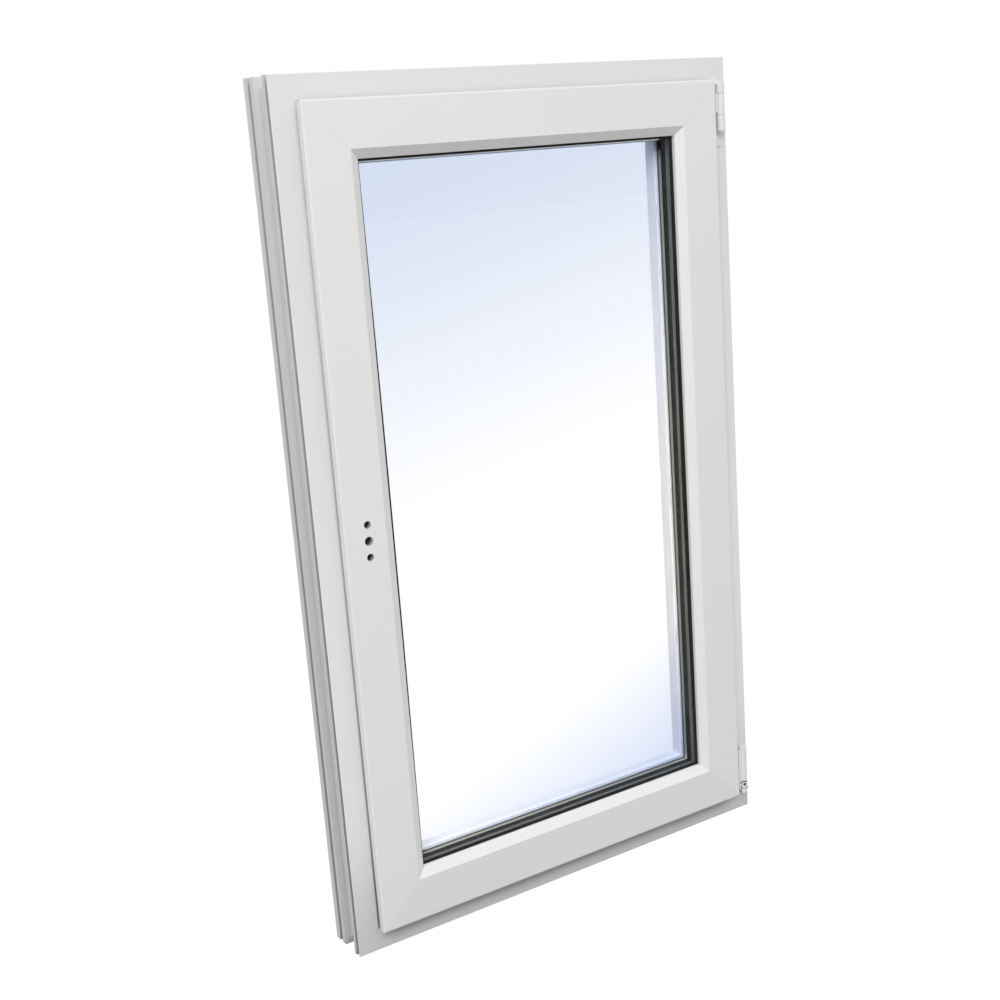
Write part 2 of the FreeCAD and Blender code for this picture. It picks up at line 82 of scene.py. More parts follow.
# Places of the locks, the stay arm's slot and the handle holes in the CAD model
HARDWARE_Y = -0.0405
CAM_HEIGHT = 0.0075
CAMS = {
    "lock_strip_left": (0.276, 0.656, 0.946), "lock_strip_top": (-0.114,), "lock_strip_bottom": (-0.114,),
}
CAM_SLOT = (-0.04, 0.004)
STAY_SLOT = (-0.0045, 0.0265)
SCREW_ROOM = 0.008
SIDE_STRIKERS = (0.23, 0.61, 0.9)
RAIL_STRIKER = -0.16
STRIKER_Y = -0.037
STRIKER_PLATE = 0.003
STRIKER_SCREW_STEP = 0.0215
HANDLE_PLACE = (-0.285, -0.0507, 0.575)
HANDLE_STEP = 0.0215
HANDLE_HOLE = 0.0057
HANDLE_SCREW_HOLE = 0.0047
HOLE_END = -0.0495

# Shares of a screw head's radius, and of a handle socket's thickness
HEAD_TOP = 0.82
RECESS_MOUTH = (0.58, 0.15)
RECESS_FLOOR = (0.40, 0.11)
RECESS_DEPTH = 0.45
THREAD = 0.8
SOCKET_BEVEL = 0.3
SOCKET_FLOOR = 0.1

# Section of a seal lip in millimetres past the bead and off the glass, and its bow at half height
LIP_SECTION = ((2.6, 0.0), (2.6, 0.75), (3.2, 0.72), (3.6, 0.60), (3.9, 0.42), (4.2, 0.20), (4.3, 0.0))
LIP_BOW = 1.8
LIP_STEPS = 24

# Short names of the Principled shader's sockets
SOCKETS = {
    "colour": "Base Color", "roughness": "Roughness", "normal": "Normal", "metallic": "Metallic",
    "specular": "Specular IOR Level", "transmission": "Transmission Weight", "index": "IOR",
}

# Ranges in which noise, and the openness of points given painted shade, mostly lie, and rays that measure
# openness
NOISE_SPAN = (0.3, 0.7)
HEMMED_SPAN = (0.2, 0.8)
OPENNESS_SAMPLES = 6

# White plastic: its die lines, grain, clouds and welds
RUN_X = (1.0, 0.0, 0.0)
RUN_Z = (0.0, 0.0, 1.0)
DIE_LINE_SCALE = 260.0
DIE_LINE_STRETCH = 0.01
DIE_LINE_HEIGHT = 0.04 * MILLIMETRE
GRAIN_SCALE = 900.0
GRAIN_HEIGHT = 0.02 * MILLIMETRE
CLOUD_SCALE = 5.0
CLOUD_TONE = 0.985
WELD_SCALE = 30.0
WELD_BREAKS = (0.35, 0.65)
WELD_STRENGTH = (0.35, 0.9)
WELD_SHADE = (0.74, 0.74, 0.74, 1.0)
WELD_DEPTH = 0.1 * MILLIMETRE
GLOSS_SPAN = 0.05
MATTE_ROUGHNESS = 0.6
PLASTIC_SPECULAR = 0.35

# Painted light and shade of the frame: lengths, shares of painted shade, and tones against the frame's white
FRONT_ROUND = 1.2 * MILLIMETRE
EDGE_DEPTH = 9 * MILLIMETRE
EDGE_TOP_SHARE = 0.6
COVERED_SHADE = (0.8, 0.1)
LOW_SHADE_SHARE = 0.6
LOW_SHADE_HEIGHT = 0.2
HIGH_SHADE = 0.09
HIGH_SHADE_START = 0.3
# Painted light beside the sash: the openness where it starts, and its tone
BESIDE_OPENNESS = 0.45
BESIDE_TONE = 1.19
FRAME_SHADE_TONE = 0.25

# Painted light and shade of the sash: lengths, shares of painted shade, and tones against its whites
TOP_EDGE = 3 * MILLIMETRE
TOP_EDGE_SHARE = 1.4
UNDER_SHADE = 0.19
RAIL_SHADE = 0.045
GAP_OPENNESS = (0.05, 0.3)
GAP_SHADE = 0.85
HOLE_EDGE = 0.3 * MILLIMETRE
HOLE_DEPTH = 11 * MILLIMETRE
HOLE_SHADES = (0.15, 0.97)
# Painted light on the reveal's bottom ledge, and the band of the reveal's painted cool shade
LEDGE_BAND = (0.5 * MILLIMETRE, 0.2 * MILLIMETRE)
LEDGE_TONE = 1.13
REVEAL_BAND = (3 * MILLIMETRE, 2 * MILLIMETRE)
SASH_SHADE_TONE = 0.1

# Covers, rubber, spacer, metal and setting blocks
FINE_BUMP = 0.03 * MILLIMETRE
PEEL_SCALE = 420.0
MOTTLE_SCALE = 40.0
MOTTLE_TONE = 0.97
PEEL_GLOSS = 0.1
BLOOM_SCALE = 120.0
BLOOM_SPAN = (0.4, 0.8)
BLOOM_TONE = 2.0
RUBBER_GRAIN = 1500.0
RUBBER_ROUGHNESS = (0.5, 0.7)
RUBBER_SPECULAR = 0.12
# Painted highlight along the glass seal's thin edge under the top bead: where it starts, its blur, and its
# gap short of the right end
TOP_LIP = 3.0 * MILLIMETRE
TOP_LIP_BLUR = 0.3 * MILLIMETRE
TOP_LIP_GAP = 22 * MILLIMETRE
OUTER_LIP = 4.9 * MILLIMETRE
OUTER_LIP_BLUR = 0.2 * MILLIMETRE
OUTER_LIP_TONE = 0.32
OUTER_TONES = (0.95, 1.05)
SPACER_PITCH = 3 * MILLIMETRE
SPACER_ROW = 0.2
SPACER_HOLE_WIDTH = 0.25 * MILLIMETRE
SPACER_HOLE_LENGTH = 0.16
SPACER_BRUSH = (500.0, (0.05, 1.0, 0.05))
SPACER_TONES = (0.85, 1.1)
SPACER_EDGE = 0.52
SPACER_EDGE_BLUR = 0.5 * MILLIMETRE
SPACER_DARK = 0.14
SPACER_HOLE_TONE = 0.05
SPACER_ROUGHNESS = (0.5, 0.65)
SPACER_SPECULAR = 0.1
STEEL_CLOUD = 60.0
CLOUD_SHARE = 0.6
SPECKLE_SHARE = 0.5
STEEL_SPAN = (0.2, 0.7)
STEEL_TONES = (0.86, 1.05)
# Reach and tone of the painted shade in the metal's recesses
STEEL_REACH = 4 * MILLIMETRE
STEEL_RECESS_SHADE = 0.12
STEEL_DULLING = 0.12
STEEL_GRAIN = 700.0
COAT_BLUR = 0.3 * MILLIMETRE
BLOCK_SCALE = 200.0
BLOCK_GREENS = ((0.05, 0.16, 0.07, 1.0), (0.07, 0.22, 0.10, 1.0))
BLOCK_ROUGHNESS = (0.45, 0.6)

# Roughness and spangle scale of the metals
ZINC_FACE = (0.32, 450.0)
CAST_FACE = (0.24, 900.0)
SCREW_FACE = (0.25, 1200.0)
GEAR_FACE = (0.3, 900.0)
# Share of the zinc's colour left on the gear behind the handle holes, darkened as painted shade at their
# bottom
GEAR_SHADE = 0.2

# Glass: its waves, and the slants of its painted sky reflection over the pane's width and height
GLASS_WAVES = 3.0
WAVE_SPAN = (0.2, 0.8)
WAVE_ROUGHNESS = (0.0, 0.008)
SKY_LEAN = 0.12
SKY_SPAN = (0.38, 1.04)
LOW_START = 0.43
LOW_LEAN = 0.87
LOW_FALL = 4.4

# Floor
FLOOR_ROUGHNESS = 0.9
FLOOR_SHADED = (0.95, 0.95, 0.95, 1.0)
FLOOR_GLOW = 1.04


class WindowFinishes(bpy.types.PropertyGroup):
    """Colours and surface values of the window's materials."""

    frame_white: FloatVectorProperty(
        name="Frame white", description="Colour of the frame sections", subtype="COLOR", size=3,
        min=0.0, max=1.0, default=(0.84, 0.84, 0.84))
    sash_white: FloatVectorProperty(
        name="Sash white", description="Colour of the sash sections", subtype="COLOR", size=3,
        min=0.0, max=1.0, default=(0.82, 0.82, 0.808))
    # The sash's white made a little paler for the glazing beads, as painted light on their bevels
    lit_bead_white: FloatVectorProperty(
        name="Bead white", description="Colour of the glazing beads", subtype="COLOR", size=3,
        min=0.0, max=1.0, default=(0.86, 0.86, 0.85))
    cover_white: FloatVectorProperty(
        name="Cover white", description="Colour of the hinge covers", subtype="COLOR", size=3,
        min=0.0, max=1.0, default=(0.80, 0.80, 0.80))
    # How far painted shade darkens the frame and the sash, and the width within which it gathers
    groove_shade: FloatProperty(
        name="Groove shade", description="How far dust darkens the frame deep in its grooves",
        subtype="FACTOR", min=0.0, max=1.0, default=0.6)
    edge_shade: FloatProperty(
        name="Edge shade", description="How far grime darkens the frame's outer edge at the bottom",
        subtype="FACTOR", min=0.0, max=1.0, default=0.42)
    sill_shade: FloatProperty(
        name="Sill shade", description="How far dust darkens the frame's front under the sash",
        subtype="FACTOR", min=0.0, max=1.0, default=0.56)
    corner_shade: FloatProperty(
        name="Corner shade", description="How far dust darkens the sash in its corners", subtype="FACTOR",
        min=0.0, max=1.0, default=0.1)
    groove_reach: FloatProperty(
        name="Groove reach", description="Width of the grooves that hold dust", subtype="DISTANCE",
        min=0.0, default=0.012)
    plastic_roughness: FloatProperty(
        name="Plastic roughness", description="Mean roughness of the white plastic", subtype="FACTOR",
        min=0.0, max=1.0, default=0.36)
    seal_black: FloatVectorProperty(
        name="Seal black", description="Colour of the rubber seals", subtype="COLOR", size=3,
        min=0.0, max=1.0, default=(0.0125, 0.0125, 0.0112))
    outer_seal_grey: FloatVectorProperty(
        name="Outer seal grey", description="Colour of the pale seal at the outer pane", subtype="COLOR",
        size=3, min=0.0, max=1.0, default=(0.72, 0.72, 0.67))
    # Painted light on the outer seal's bottom run
    lit_seal_bottom: FloatVectorProperty(
        name="Lit seal", description="Colour of the outer seal along the bottom", subtype="COLOR",
        size=3, min=0.0, max=1.0, default=(0.95, 0.93, 0.84))
    # Painted cool shade of the sky on the reveal round the glass
    reveal_sky_shade: FloatVectorProperty(
        name="Outside white", description="Colour of the sash outside, round the glass", subtype="COLOR",
        size=3, min=0.0, max=1.0, default=(0.785, 0.785, 0.815))
    # Painted highlight on the glass seal's thin edge under the top bead
    lip_highlight: FloatVectorProperty(
        name="Lip sheen", description="Colour of the glass seal's thin edge under the top bead",
        subtype="COLOR", size=3, min=0.0, max=1.0, default=(0.94, 0.97, 1.0))
    spacer_grey: FloatVectorProperty(
        name="Spacer grey", description="Colour of the bar between the panes", subtype="COLOR", size=3,
        min=0.0, max=1.0, default=(0.155, 0.153, 0.134))
    zinc: FloatVectorProperty(
        name="Zinc", description="Colour of the plated steel fittings", subtype="COLOR", size=3,
        min=0.0, max=1.0, default=(0.62, 0.63, 0.64))
    cast_metal: FloatVectorProperty(
        name="Cast metal", description="Colour of the bare lower hinge", subtype="COLOR", size=3,
        min=0.0, max=1.0, default=(0.66, 0.66, 0.66))
    # Painted reflection of the sky on the inner pane, at its top left and bottom right corners
    painted_sky: FloatVectorProperty(
        name="Upper glass reflection", description="Reflection of the glass at its top left corner", subtype="COLOR",
        size=3, min=0.0, max=1.0, default=(0.65, 0.73, 0.88))
    painted_low_sky: FloatVectorProperty(
        name="Lower glass reflection", description="Reflection of the glass at its bottom right corner", subtype="COLOR",
        size=3, min=0.0, max=1.0, default=(0.68, 0.745, 0.91))
    glass_index: FloatProperty(
        name="Glass index", description="Refractive index of the panes, low so that they mirror little",
        min=1.0, max=2.0, default=1.12)
    weld_width: FloatProperty(
        name="Weld width", description="Half width of the cleaned weld line at each mitre",
        subtype="DISTANCE", min=0.0, default=0.0005)


class WindowFixings(bpy.types.PropertyGroup):
    """Sizes of the screws and of the handle socket."""

    head_radius: FloatProperty(
        name="Screw head radius", description="Radius of the countersunk screw heads", subtype="DISTANCE",
        min=0.0, default=0.0031)
    head_height: FloatProperty(
        name="Screw head height", description="Height of a screw head over its plate", subtype="DISTANCE",
        min=0.0, default=0.0005)
    strip_pitch: FloatProperty(
        name="Strip screw pitch", description="Distance between the screws of a lock strip",
        subtype="DISTANCE", min=0.01, default=0.13)
    head_sides: IntProperty(
        name="Screw head sides", description="Corners of a screw head's rim", min=8, default=24)
    socket_square: FloatProperty(
        name="Spindle square", description="Side of the square socket behind the handle place",
        subtype="DISTANCE", min=0.0, default=0.007)
    socket_thickness: FloatProperty(
        name="Socket thickness", description="Thickness of the gear's face in the handle holes",
        subtype="DISTANCE", min=0.0, default=0.0012)


class WindowStudio(bpy.types.PropertyGroup):
    """Camera, lamps and floor."""

    camera_place: FloatVectorProperty(
        name="Camera place", description="Where the camera stands", subtype="TRANSLATION", size=3,
        default=(-1.0673, -1.6479, 1.0461))
    camera_turn: FloatVectorProperty(
        name="Camera turn", description="Camera rotation about X, Y and Z", subtype="EULER", size=3,
        default=(math.radians(76.225), math.radians(4.116), math.radians(-32.816)))
    lens: FloatProperty(
        name="Lens", description="Focal length in millimetres on a 36 mm frame", min=1.0, default=51.55)
    ambient: FloatProperty(
        name="Ambient light", description="Strength of the even light from all round", min=0.0,
        default=0.73)
    key_power: FloatProperty(
        name="Key lamp power", description="Power of the soft lamp at the upper left", unit="POWER",
        min=0.0, default=140.0)
    key_place: FloatVectorProperty(
        name="Key lamp place", description="Centre of the soft lamp", subtype="TRANSLATION", size=3,
        default=(-2.7, -4.0, 3.7))
    key_size: FloatProperty(
        name="Key lamp size", description="Side of the square soft lamp", subtype="DISTANCE",
        min=0.01, default=2.1)
    top_power: FloatProperty(
        name="Top lamp power", description="Power of the soft lamp over the window", unit="POWER",
        min=0.0, default=4.0)
    top_place: FloatVectorProperty(
        name="Top lamp place", description="Centre of the soft lamp over the window", subtype="TRANSLATION",
        size=3, default=(-0.3, -1.2, 3.0))
    top_size: FloatProperty(
        name="Top lamp size", description="Side of the square lamp over the window", subtype="DISTANCE",
        min=0.01, default=1.2)
    back_power: FloatProperty(
        name="Back lamp power", description="Power of the soft lamp outside the window", unit="POWER",
        min=0.0, default=16.0)
    back_place: FloatVectorProperty(
        name="Back lamp place", description="Centre of the soft lamp outside the window",
        subtype="TRANSLATION", size=3, default=(0.0, 1.7, 2.8))
    back_size: FloatProperty(
        name="Back lamp size", description="Side of the square lamp outside the window", subtype="DISTANCE",
        min=0.01, default=1.2)
    floor_size: FloatProperty(
        name="Floor size", description="Side of the square floor", subtype="DISTANCE",
        min=1.0, default=40.0)
    floor_white: FloatProperty(
        name="Floor whiteness", description="Share of plain white in the floor as it is seen",
        subtype="FACTOR", min=0.0, max=1.0, default=0.94)
    floor_bounce: FloatProperty(
        name="Floor bounce", description="Share of light that the floor throws back on the window",
        subtype="FACTOR", min=0.0, max=1.0, default=0.3)


class Finish:
    """A material with one Principled shader, and short ways to add nodes before it."""

    def __init__(self, name):
        self.material = bpy.data.materials.new(name)
        self.material.use_nodes = True
        self.tree = self.material.node_tree
        self.shader = self.tree.nodes["Principled BSDF"]

    def node(self, kind, **settings):
        """New node with its settings."""
        made = self.tree.nodes.new(kind)
        for key, value in settings.items():
            setattr(made, key, value)
        return made

    def feed(self, socket, value):
        """Link a node's output to a socket, or set a plain value on it."""
        if isinstance(value, bpy.types.NodeSocket):
            self.tree.links.new(value, socket)
        else:
            socket.default_value = value

    def surface(self, **values):
        """Feed the shader's sockets by their short names."""
        for name, value in values.items():
            self.feed(self.shader.inputs[SOCKETS[name]], value)

    def math(self, operation, first, second=0.0):
        """Output of a Math node."""
        made = self.node("ShaderNodeMath", operation=operation)
        self.feed(made.inputs[0], first)
        self.feed(made.inputs[1], second)
        return made.outputs[0]

    def times(self, first, *others):
        """Product of values."""
        for other in others:
            first = self.math("MULTIPLY", first, other)
        return first

    def plus(self, first, *others):
        """Sum of values."""
        for other in others:
            first = self.math("ADD", first, other)
        return first

    def rest(self, share):
        """What a share leaves of one."""
        return self.math("SUBTRACT", 1.0, share)

    def apart(self, first, second):
        """Distance between two values."""
        return self.math("ABSOLUTE", self.math("SUBTRACT", first, second))

    def below(self, value, limit):
        """1 where a value is less than a limit, and 0 elsewhere."""
        return self.math("LESS_THAN", value, limit)

    def above(self, value, limit):
        """1 where a value is more than a limit, and 0 elsewhere."""
        return self.math("GREATER_THAN", value, limit)

    def spread(self, value, low, high, to_low=0.0, to_high=1.0):
        """Output of a smooth Map Range node."""
        made = self.node("ShaderNodeMapRange", interpolation_type="SMOOTHSTEP")
        for socket, number in zip(made.inputs, (value, low, high, to_low, to_high)):
            self.feed(socket, number)
        return made.outputs[0]

    def past(self, value, edge, blur):
        """0 before an edge and 1 past it, blurred a little on either side."""
        return self.spread(value, edge - blur, edge + blur)

    def vary(self, noise, low=0.0, high=1.0):
        """Noise brought between two values."""
        return self.spread(noise, *NOISE_SPAN, low, high)

    def mix(self, share, first, second, blend="MIX"):
        """Output of a colour Mix node."""
        made = self.node("ShaderNodeMix", data_type="RGBA", blend_type=blend)
        for socket, value in ((made.inputs[0], share), (made.inputs[6], first), (made.inputs[7], second)):
            self.feed(socket, value)
        return made.outputs[2]

    def place(self):
        """Position on the piece in metres, as a vector output."""
        return self.node("ShaderNodeTexCoord").outputs["Object"]

    def axes(self):
        """X, Y and Z of the position on the piece."""
        made = self.node("ShaderNodeSeparateXYZ")
        self.feed(made.inputs[0], self.place())
        return made.outputs

    def noise(self, scale, stretch=(1.0, 1.0, 1.0), detail=3.0):
        """Noise over the piece, stretched along an axis where its scale is small."""
        mapping = self.node("ShaderNodeMapping")
        self.feed(mapping.inputs["Vector"], self.place())
        mapping.inputs["Scale"].default_value = stretch
        made = self.node("ShaderNodeTexNoise")
        self.feed(made.inputs["Vector"], mapping.outputs[0])
        made.inputs["Scale"].default_value = scale
        made.inputs["Detail"].default_value = detail
        return made.outputs["Fac"]

    def bump(self, height, distance, base=None):
        """Normal output of a Bump node, over another one if given."""
        made = self.node("ShaderNodeBump")
        made.inputs["Distance"].default_value = distance
        self.feed(made.inputs["Height"], height)
        if base:
            self.feed(made.inputs["Normal"], base)
        return made.outputs[0]


def rgba(colour, tone=1.0):
    """Colour with alpha, darker or paler by a tone."""
    return (colour[0] * tone, colour[1] * tone, colour[2] * tone, 1.0)


def dress(names, finish):
    """Give CAD nodes one material."""
    for name in names:
        mesh = NODES[name].data
        mesh.materials.clear()
        mesh.materials.append(finish.material)


def inward(finish):
    """Distances of a point from the nearer upright edge and the nearer level edge of the frame."""
    x, _, z = finish.axes()
    across = finish.math("SUBTRACT", HALF_WIDTH, finish.math("ABSOLUTE", x))
    up = finish.math("MINIMUM", z, finish.math("SUBTRACT", HEIGHT, z))
    return across, up


def top_run(finish):
    """Share of the top run of a mitred ring at a point: 1 on it and 0 on the other three."""
    across, up = inward(finish)
    return finish.times(finish.below(up, across), finish.above(finish.axes()[2], HEIGHT / 2))


def mitre_line(finish, width):
    """Share of the weld at a point: 1 on the mitre of a corner and 0 away from it."""
    across, up = inward(finish)
    return finish.spread(finish.apart(across, up), 0.0, width, 1.0, 0.0)


def openness(finish, reach):
    """Share of a point's surroundings that is free: 1 on an open face, near 0 in a groove."""
    made = finish.node("ShaderNodeAmbientOcclusion", samples=OPENNESS_SAMPLES)
    made.inputs["Distance"].default_value = reach
    return made.outputs["AO"]


def hemmed_shade(finish, free, shade):
    """Painted shade where a point's surroundings aren't free, up to a shade."""
    return finish.spread(free, *HEMMED_SPAN, shade, 0.0)


def frame_shading(finish, unshaded, look):
    """Frame colour with painted shade on the outer edge, under and below the sash and towards the bottom and
    top, and painted light on a strip beside the sash.

    The second value is the matte share, which is none here.
    """
    _, y, z = finish.axes()
    across, up = inward(finish)
    depth = finish.math("MINIMUM", across, up)
    free = openness(finish, look.groove_reach)
    front = FRAME_LOW.y + FRONT_ROUND
    behind = finish.spread(y, front, front + MILLIMETRE)
    ahead = finish.rest(behind)
    # Painted shade on the outer edge behind the front face: stronger at the bottom, and deeper where a point
    # is hemmed in
    shading_share = finish.times(finish.spread(z, 0.0, HEIGHT, look.edge_shade, look.edge_shade * EDGE_TOP_SHARE),
                        finish.spread(depth, EDGE_DEPTH, EDGE_DEPTH + MILLIMETRE, 1.0, 0.0))
    edge_shading = finish.times(behind, finish.plus(hemmed_shade(finish, free, look.groove_shade), shading_share))
    # Painted shade on the front face under the sash flange, stronger towards the bottom
    covered = finish.times(finish.spread(depth, SASH_INSET, SASH_INSET + MILLIMETRE),
                           finish.spread(z, 0.0, HEIGHT, *COVERED_SHADE))
    # Painted shadow of the sash on the front face below it, fading towards the frame's corners
    sill = finish.times(finish.spread(z, 0.0, SASH_LOW.z, 0.0, look.sill_shade),
                        finish.below(z, SASH_LOW.z),
                        finish.spread(across, SASH_INSET, 2 * SASH_INSET))
    # Painted shade, darker towards the bottom and a little towards the top
    low = finish.spread(z, 0.0, LOW_SHADE_HEIGHT, look.sill_shade * LOW_SHADE_SHARE, 0.0)
    high = finish.spread(z, HIGH_SHADE_START, HEIGHT, 0.0, HIGH_SHADE)
    front_shade = finish.plus(finish.math("MAXIMUM", sill, covered), finish.plus(low, high))
    painted_shade = finish.plus(edge_shading, finish.times(ahead, front_shade))
    # Painted light beside the sash on the uprights, paler where the sash hems the face in
    upright = finish.times(finish.above(z, SASH_LOW.z), finish.above(up, across))
    beside = finish.times(ahead, finish.spread(free, BESIDE_OPENNESS, 1.0, 1.0, 0.0), upright)
    pale = finish.mix(beside, unshaded, rgba(look.frame_white, BESIDE_TONE))
    return finish.mix(painted_shade, pale, rgba(look.frame_white, FRAME_SHADE_TONE)), 0.0


def handle_holes(finish):
    """Shade on the walls of the three handle holes, darker with depth."""
    x, y, z = finish.axes()
    face = SASH_LOW.y
    near = finish.times(finish.below(finish.apart(x, HANDLE_PLACE[0]), HANDLE_STEP / 2),
                        finish.below(finish.apart(z, HANDLE_PLACE[2]), HANDLE_STEP * 1.5))
    wall = finish.times(finish.above(y, face + HOLE_EDGE), finish.below(y, HOLE_END))
    return finish.times(finish.spread(y, face, face + HOLE_DEPTH, *HOLE_SHADES), finish.times(near, wall))


def near_reveal(finish, value, band):
    """0 before a band that ends short of the reveal's edge, and 1 past it."""
    return finish.spread(value, REVEAL_INSET - band[0], REVEAL_INSET - band[1])


def sash_shading(finish, unshaded, look):
    """Sash colour with painted shade in its corners, on its top edge, under the top bead, on the bottom
    rail, in its gaps and handle holes, and a painted cool shade of the sky on the reveal round the glass
    with painted light on its bottom ledge.

    The second value is the matte share, which is full on the outside.
    """
    _, y, z = finish.axes()
    across, up = inward(finish)
    free = openness(finish, look.groove_reach)
    outside = finish.spread(y, OUTSIDE - MILLIMETRE, OUTSIDE)
    inside = finish.rest(outside)
    # Painted shade where the sash is hemmed in, on the room side
    corner = finish.times(inside, hemmed_shade(finish, free, look.corner_shade))
    # Painted shade on the sash's top edge and, on the room side, under the top bead
    top = finish.spread(z, SASH_HIGH.z - TOP_EDGE, SASH_HIGH.z, 0.0, look.corner_shade * TOP_EDGE_SHARE)
    under = finish.times(top_run(finish), finish.above(up, BEAD_LOW))
    edges = finish.plus(top, finish.times(under, finish.times(inside, UNDER_SHADE)))
    # Painted shade on the bottom rail
    rail = finish.times(finish.below(z, BEAD_LOW), finish.above(across, up))
    shading_share = finish.plus(corner, edges, finish.times(rail, RAIL_SHADE))
    # Painted shade in narrow gaps and in the handle holes on the room side
    gap = finish.times(finish.spread(free, *GAP_OPENNESS, GAP_SHADE, 0.0), finish.below(y, HOLE_END))
    dark = finish.math("MAXIMUM", gap, handle_holes(finish))
    # Painted light on the bottom ledge of the reveal round the glass, and painted cool shade of the sky on
    # the rest of the reveal outside
    ledge = finish.times(near_reveal(finish, z, LEDGE_BAND), finish.below(z, REVEAL_INSET + MILLIMETRE))
    cool = finish.mix(ledge, rgba(look.reveal_sky_shade), rgba(look.reveal_sky_shade, LEDGE_TONE))
    reveal = near_reveal(finish, finish.math("MINIMUM", across, up), REVEAL_BAND)
    with_reveal = finish.mix(finish.times(outside, reveal), unshaded, cool)
    shaded_sash = finish.mix(finish.math("MAXIMUM", dark, shading_share), with_reveal, rgba(look.sash_white, SASH_SHADE_TONE))
    return shaded_sash, outside


def white_plastic(name, colour, run, look, shading):
    """Extruded white plastic: die lines along its run, cleaned welds at the mitres, and its painted light
    and shade.
    """
    finish = Finish(name)
    roughness = look.plastic_roughness
    stretch = [DIE_LINE_STRETCH if part else 1.0 for part in run]
    die_lines = finish.noise(DIE_LINE_SCALE, stretch, detail=2.0)
    grain = finish.noise(GRAIN_SCALE, detail=4.0)
    cloud = finish.noise(CLOUD_SCALE, detail=2.0)
    weld = mitre_line(finish, look.weld_width)
    unshaded = finish.mix(finish.vary(cloud), rgba(colour, CLOUD_TONE), rgba(colour))
    # Painted light and shade laid over the plastic's own colour
    body, matte = shading(finish, unshaded, look)
    smooth = finish.rest(matte)
    faint = finish.times(weld, finish.spread(finish.noise(WELD_SCALE), *WELD_BREAKS, *WELD_STRENGTH))
    lined = finish.vary(die_lines, roughness - GLOSS_SPAN, roughness + GLOSS_SPAN)
    dull = finish.times(finish.math("MAXIMUM", weld, matte), MATTE_ROUGHNESS)
    lines = finish.bump(finish.times(die_lines, smooth), DIE_LINE_HEIGHT)
    fine = finish.bump(finish.times(grain, smooth), GRAIN_HEIGHT, lines)
    finish.surface(
        colour=finish.mix(faint, body, WELD_SHADE, "MULTIPLY"),
        roughness=finish.math("MAXIMUM", lined, dull),
        normal=finish.bump(finish.rest(weld), WELD_DEPTH, fine),
        specular=PLASTIC_SPECULAR)
    return finish


def cover_plastic(colour, roughness):
    """Moulded white plastic of the hinge covers, with a fine orange peel."""
    finish = Finish("cover_plastic")
    peel = finish.noise(PEEL_SCALE, detail=2.0)
    mottle = finish.vary(finish.noise(MOTTLE_SCALE))
    finish.surface(
        colour=finish.mix(mottle, rgba(colour, MOTTLE_TONE), rgba(colour)),
        roughness=finish.vary(peel, roughness - PEEL_GLOSS, roughness),
        normal=finish.bump(peel, FINE_BUMP))
    return finish


def dull_rubber(name):
    """Rubber with a bloom and a fine grain, still without a colour, and the noise of its bloom."""
    finish = Finish(name)
    bloom = finish.noise(BLOOM_SCALE)
    finish.surface(
        roughness=finish.vary(bloom, *RUBBER_ROUGHNESS),
        normal=finish.bump(finish.noise(RUBBER_GRAIN), FINE_BUMP))
    return finish, bloom


def seal_rubber(colour, highlight):
    """Black rubber with a faint bloom and, short of the right end, a painted highlight along a thin edge
    under the top bead.
    """
    finish, bloom = dull_rubber("seal_rubber")
    black = finish.mix(finish.spread(bloom, *BLOOM_SPAN), rgba(colour), rgba(colour, BLOOM_TONE))
    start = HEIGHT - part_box("glazing_bead_top")[0].z + TOP_LIP
    thin = finish.past(finish.math("MINIMUM", *inward(finish)), start, TOP_LIP_BLUR)
    short = finish.below(finish.axes()[0], RIGHT_SIGHT - TOP_LIP_GAP)
    # Painted highlight along the seal's thin edge under the top bead
    pale = finish.times(thin, finish.times(short, top_run(finish)))
    finish.surface(colour=finish.mix(pale, black, rgba(highlight)), specular=RUBBER_SPECULAR)
    return finish


def outer_seal_rubber(colour, lit_bottom):
    """Grey seal of the outer pane, with painted light making it paler along the bottom, and a darker lip
    towards the glass.
    """
    finish, bloom = dull_rubber("outer_seal_rubber")
    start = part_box("outer_glass_seal")[0].x + HALF_WIDTH + OUTER_LIP
    lip = finish.past(finish.math("MINIMUM", *inward(finish)), start, OUTER_LIP_BLUR)
    grey = finish.mix(bloom, *(rgba(colour, tone) for tone in OUTER_TONES))
    # Painted light on the seal's bottom run
    bottom = finish.below(finish.axes()[2], REVEAL_INSET + MILLIMETRE)
    pale = finish.mix(bottom, grey, rgba(lit_bottom))
    finish.surface(colour=finish.mix(lip, pale, rgba(colour, OUTER_LIP_TONE)))
    return finish


def spacer_metal(colour):
    """Dark spacer bar with a grey edge at the inner pane and two rows of breathing holes."""
    finish = Finish("spacer_metal")
    x, y, z = finish.axes()
    low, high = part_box("glass_spacer")
    width = high.y - low.y
    run = finish.math("FRACT", finish.math("DIVIDE", finish.plus(x, z), SPACER_PITCH))
    off_row = finish.apart(finish.apart(y, (low.y + high.y) / 2), width * SPACER_ROW)
    hole = finish.times(finish.below(off_row, SPACER_HOLE_WIDTH),
                        finish.below(finish.apart(run, 0.5), SPACER_HOLE_LENGTH))
    brushed = finish.noise(*SPACER_BRUSH)
    edge = finish.mix(finish.vary(brushed), *(rgba(colour, tone) for tone in SPACER_TONES))
    dark = finish.past(y, low.y + width * SPACER_EDGE, SPACER_EDGE_BLUR)
    body = finish.mix(dark, edge, rgba(colour, SPACER_DARK))
    finish.surface(
        colour=finish.mix(hole, body, rgba(colour, SPACER_HOLE_TONE)),
        roughness=finish.vary(brushed, *SPACER_ROUGHNESS),
        normal=finish.bump(brushed, FINE_BUMP),
        specular=SPACER_SPECULAR)
    return finish


